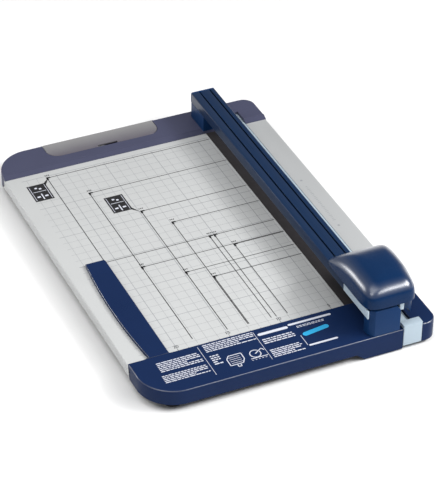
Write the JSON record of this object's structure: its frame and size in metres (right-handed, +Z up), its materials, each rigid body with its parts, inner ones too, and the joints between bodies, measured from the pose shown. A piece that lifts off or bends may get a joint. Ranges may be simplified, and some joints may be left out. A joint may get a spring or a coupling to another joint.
{
  "type": "rotary paper trimmer",
  "caption": "Low paper trimmer for office sheets: a printed table with stops, a raised slotted rail, and a domed carriage that rolls a round blade along a pull-out cutting mat.",
  "frame": {"origin": "centre of the footprint, on the surface that the feet stand on", "axes": "+X towards the off-cut side of the cut line, +Y along the rail away from the user, +Z up"},
  "size_m": [0.278, 0.4, 0.0749],
  "materials": {
    "tray_plastic": "satin moulded",
    "table_paint": "fine satin powder coat with a printed grid",
    "side_paint": "fine satin powder coat",
    "strip_rubber": "dull",
    "near_navy": "semi-gloss with light grey print",
    "far_navy": "semi-gloss",
    "screw_steel": "bright",
    "foot_rubber": "dull",
    "lid_smoke": "smoked semi-gloss",
    "blade_steel": "ground",
    "mat_plastic": "satin",
    "tab_plastic": "satin",
    "rail_paint": "satin navy coat on an extruded section",
    "cap_navy": "semi-gloss",
    "post_navy": "semi-gloss",
    "saddle_grey": "satin",
    "pad_nylon": "smooth",
    "cover_navy": "glossy",
    "spring_steel": "drawn wire",
    "holder_steel": "plated"
  },
  "bodies": {
    "base": {"base_tray": "tray_plastic", "table_plate": "table_paint", "side_table": "side_paint", "grip_strip": "strip_rubber", "near_block": "near_navy", "far_block": "far_navy", "block_screws": "screw_steel", "rubber_feet": "foot_rubber", "spare_blade": "blade_steel", "rail": "rail_paint", "rail_end_cap": "cap_navy", "near_post": "post_navy", "far_post": "post_navy", "post_screws": "screw_steel"},
    "lid": {"blade_store_lid": "lid_smoke", "lid_pins": "screw_steel"},
    "mat": {"cutting_mat": "mat_plastic", "mat_tab": "tab_plastic"},
    "saddle": {"carriage_body": "saddle_grey", "guide_posts": "screw_steel", "slide_pads": "pad_nylon", "slide_keepers": "pad_nylon", "keeper_screws": "screw_steel", "press_springs": "spring_steel"},
    "head": {"carriage_cover": "cover_navy", "blade_holder": "holder_steel", "holder_screws": "screw_steel", "blade_spacer": "pad_nylon", "blade_retainer": "cap_navy", "axle_screw": "screw_steel"},
    "blade": {"rotary_blade": "blade_steel"}
  },
  "joints": [
    {"name": "carriage_slide", "type": "slide", "parent": "base", "child": "saddle", "axis": [0, 1, 0], "range_m": [0, 0.305]},
    {"name": "head_press", "type": "slide", "parent": "saddle", "child": "head", "axis": [0, 0, -1], "range_m": [0, 0.002], "stiffness_N_per_m": 600, "springref_m": -0.006, "deforming": ["press_springs"]},
    {"name": "blade_spin", "type": "hinge", "parent": "head", "child": "blade", "pos_m": [0.11, -0.153, 0.0364], "axis": [1, 0, 0], "continuous": true},
    {"name": "lid_hinge", "type": "hinge", "parent": "base", "child": "lid", "pos_m": [-0.0275, 0.1968, 0.0165], "axis": [-1, 0, 0], "range_deg": [0, 90]},
    {"name": "mat_pull", "type": "slide", "parent": "base", "child": "mat", "axis": [0, -1, 0], "range_m": [0, 0.35]}
  ]
}
